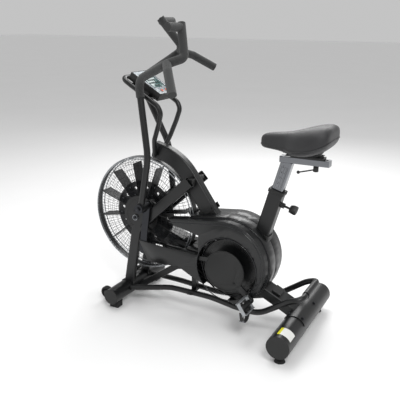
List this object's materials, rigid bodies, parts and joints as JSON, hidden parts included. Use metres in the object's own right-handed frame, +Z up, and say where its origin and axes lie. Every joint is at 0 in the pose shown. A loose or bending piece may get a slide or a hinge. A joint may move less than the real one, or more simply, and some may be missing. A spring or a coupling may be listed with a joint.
{
  "type": "air bike",
  "caption": "Upright exercise bike braked by a large caged fan at the front, with swinging handle arms linked to the pedals, a sliding saddle and a small tilted console.",
  "frame": {"origin": "on the floor, under the middle of the machine's bounding box", "axes": "+X forward towards the fan, +Y to the rider's left, +Z up"},
  "size_m": [1.197, 0.6986, 1.363],
  "materials": {
    "black_frame": "satin black powder coat",
    "black_arm": "satin black powder coat",
    "black_plastic": "fine-grained moulded plastic",
    "casing_plastic": "satin moulded plastic",
    "silver_wire": "silver-grey powder coat",
    "dark_fan": "black paint, slightly glossy",
    "chrome_plate": "bright chrome plate",
    "machined_steel": "turned steel",
    "bush_plastic": "smooth nylon",
    "saddle_cover": "black grained vinyl",
    "foam_grip": "black closed-cell foam",
    "black_rubber": "plain black rubber",
    "console_grey": "light grey printed sheet",
    "display_teal": "glossy display window",
    "button_orange": "glossy plastic"
  },
  "bodies": {
    "frame": {"rear_stabiliser": "black_frame", "front_stabiliser": "black_frame", "end_caps": "black_plastic", "front_feet": "black_rubber", "rear_beam": "black_frame", "keel_tube": "black_frame", "crank_bearings": "machined_steel", "backbone": "black_frame", "backbone_fittings": "black_plastic", "left_fork": "black_frame", "right_fork": "black_frame", "rail_hoop": "black_frame", "seat_tube": "black_frame", "seat_bush": "bush_plastic", "seat_collar": "black_plastic", "seat_boot": "black_plastic", "left_casing": "casing_plastic", "right_casing": "casing_plastic", "pivot_housings": "black_frame", "fan_axle": "machined_steel", "cage_band": "black_frame", "left_wire_guard": "silver_wire", "right_wire_guard": "silver_wire", "drive_belt": "black_rubber", "console_loop": "black_frame", "console_case": "black_plastic", "console_face": "console_grey", "console_screen": "display_teal"},
    "crank": {"crank_axle": "machined_steel", "drive_pulley": "black_plastic", "left_crank_arm": "black_arm", "right_crank_arm": "black_arm", "left_crank_cover": "black_plastic", "right_crank_cover": "black_plastic", "pedal_spindles": "machined_steel"},
    "left_pedal": {"left_pedal": "black_plastic"},
    "right_pedal": {"right_pedal": "black_plastic"},
    "fan": {"fan_rotor": "dark_fan", "fan_bearings": "machined_steel", "fan_pulley": "dark_fan"},
    "left_arm": {"left_arm": "black_arm", "left_foam": "foam_grip", "left_arm_shaft": "machined_steel"},
    "right_arm": {"right_arm": "black_arm", "right_foam": "foam_grip", "right_arm_shaft": "machined_steel"},
    "left_rod": {"left_drive_rod": "machined_steel"},
    "right_rod": {"right_drive_rod": "machined_steel"},
    "seat_column": {"seat_post": "chrome_plate", "slider_rail": "chrome_plate"},
    "saddle_carriage": {"saddle_bracket": "black_frame", "saddle": "saddle_cover"},
    "clamp": {"clamp_lever": "black_plastic"},
    "height_pin": {"seat_pin": "black_plastic"},
    "left_wheel": {"left_wheel": "black_rubber"},
    "right_wheel": {"right_wheel": "black_rubber"},
    "left_foot": {"left_foot": "black_rubber"},
    "right_foot": {"right_foot": "black_rubber"},
    "start_button": {"start_button": "button_orange"},
    "mode_button": {"mode_button": "button_orange"}
  },
  "joints": [
    {"name": "crank_spin", "type": "hinge", "parent": "frame", "child": "crank", "pos_m": [-0.1675, 0, 0.281], "axis": [0, 1, 0], "continuous": true},
    {"name": "left_pedal_spin", "type": "hinge", "parent": "crank", "child": "left_pedal", "pos_m": [-0.29532, 0.168, 0.16591], "axis": [0, 1, 0], "continuous": true},
    {"name": "right_pedal_spin", "type": "hinge", "parent": "crank", "child": "right_pedal", "pos_m": [-0.03968, -0.168, 0.39609], "axis": [0, 1, 0], "continuous": true},
    {"name": "fan_spin", "type": "hinge", "parent": "frame", "child": "fan", "pos_m": [0.3185, 0, 0.444], "axis": [0, 1, 0], "continuous": true},
    {"name": "left_arm_swing", "type": "hinge", "parent": "frame", "child": "left_arm", "pos_m": [0.2475, 0.145, 0.518], "axis": [0, 1, 0], "range_deg": [-2.6, 18.1]},
    {"name": "right_arm_swing", "type": "hinge", "parent": "frame", "child": "right_arm", "pos_m": [0.2475, -0.145, 0.518], "axis": [0, 1, 0], "range_deg": [-18.1, 2.6]},
    {"name": "left_rod_hinge", "type": "hinge", "parent": "left_arm", "child": "left_rod", "pos_m": [0.27892, 0.0875, 0.28713], "axis": [0, 1, 0], "range_deg": [-18.1, 2.6]},
    {"name": "right_rod_hinge", "type": "hinge", "parent": "right_arm", "child": "right_rod", "pos_m": [0.21608, -0.0875, 0.28713], "axis": [0, 1, 0], "range_deg": [-2.6, 18.1]},
    {"name": "seat_height", "type": "slide", "parent": "frame", "child": "seat_column", "axis": [-0.2756, 0, 0.9613], "range_m": [-0.1, 0.08]},
    {"name": "seat_reach", "type": "slide", "parent": "seat_column", "child": "saddle_carriage", "axis": [1, 0, 0], "range_m": [-0.04, 0.015]},
    {"name": "clamp_turn", "type": "hinge", "parent": "saddle_carriage", "child": "clamp", "pos_m": [-0.5165, 0, 0.77], "axis": [0, 0, 1], "range_deg": [-60, 120]},
    {"name": "pin_pull", "type": "slide", "parent": "frame", "child": "height_pin", "axis": [-0.9613, 0, -0.2756], "range_m": [0, 0.012], "stiffness_N_per_m": 1500, "springref_m": -0.004},
    {"name": "left_wheel_spin", "type": "hinge", "parent": "frame", "child": "left_wheel", "pos_m": [0.4595, 0.15, 0.046], "axis": [0, 1, 0], "continuous": true},
    {"name": "right_wheel_spin", "type": "hinge", "parent": "frame", "child": "right_wheel", "pos_m": [0.4595, -0.15, 0.046], "axis": [0, 1, 0], "continuous": true},
    {"name": "left_foot_screw", "type": "slide", "parent": "frame", "child": "left_foot", "axis": [0, 0, -1], "range_m": [0, 0.01]},
    {"name": "right_foot_screw", "type": "slide", "parent": "frame", "child": "right_foot", "axis": [0, 0, -1], "range_m": [0, 0.01]},
    {"name": "start_button_press", "type": "slide", "parent": "frame", "child": "start_button", "axis": [0.515, 0, -0.8572], "range_m": [0, 0.002], "stiffness_N_per_m": 400, "springref_m": -0.001},
    {"name": "mode_button_press", "type": "slide", "parent": "frame", "child": "mode_button", "axis": [0.515, 0, -0.8572], "range_m": [0, 0.002], "stiffness_N_per_m": 400, "springref_m": -0.001}
  ],
  "couplings": [
    {"joint": "fan_spin", "follows": "crank_spin", "ratio": 4.2},
    {"joint": "right_arm_swing", "follows": "left_arm_swing", "ratio": -1},
    {"joint": "left_rod_hinge", "follows": "left_arm_swing", "ratio": -1},
    {"joint": "right_rod_hinge", "follows": "left_arm_swing", "ratio": 1}
  ]
}
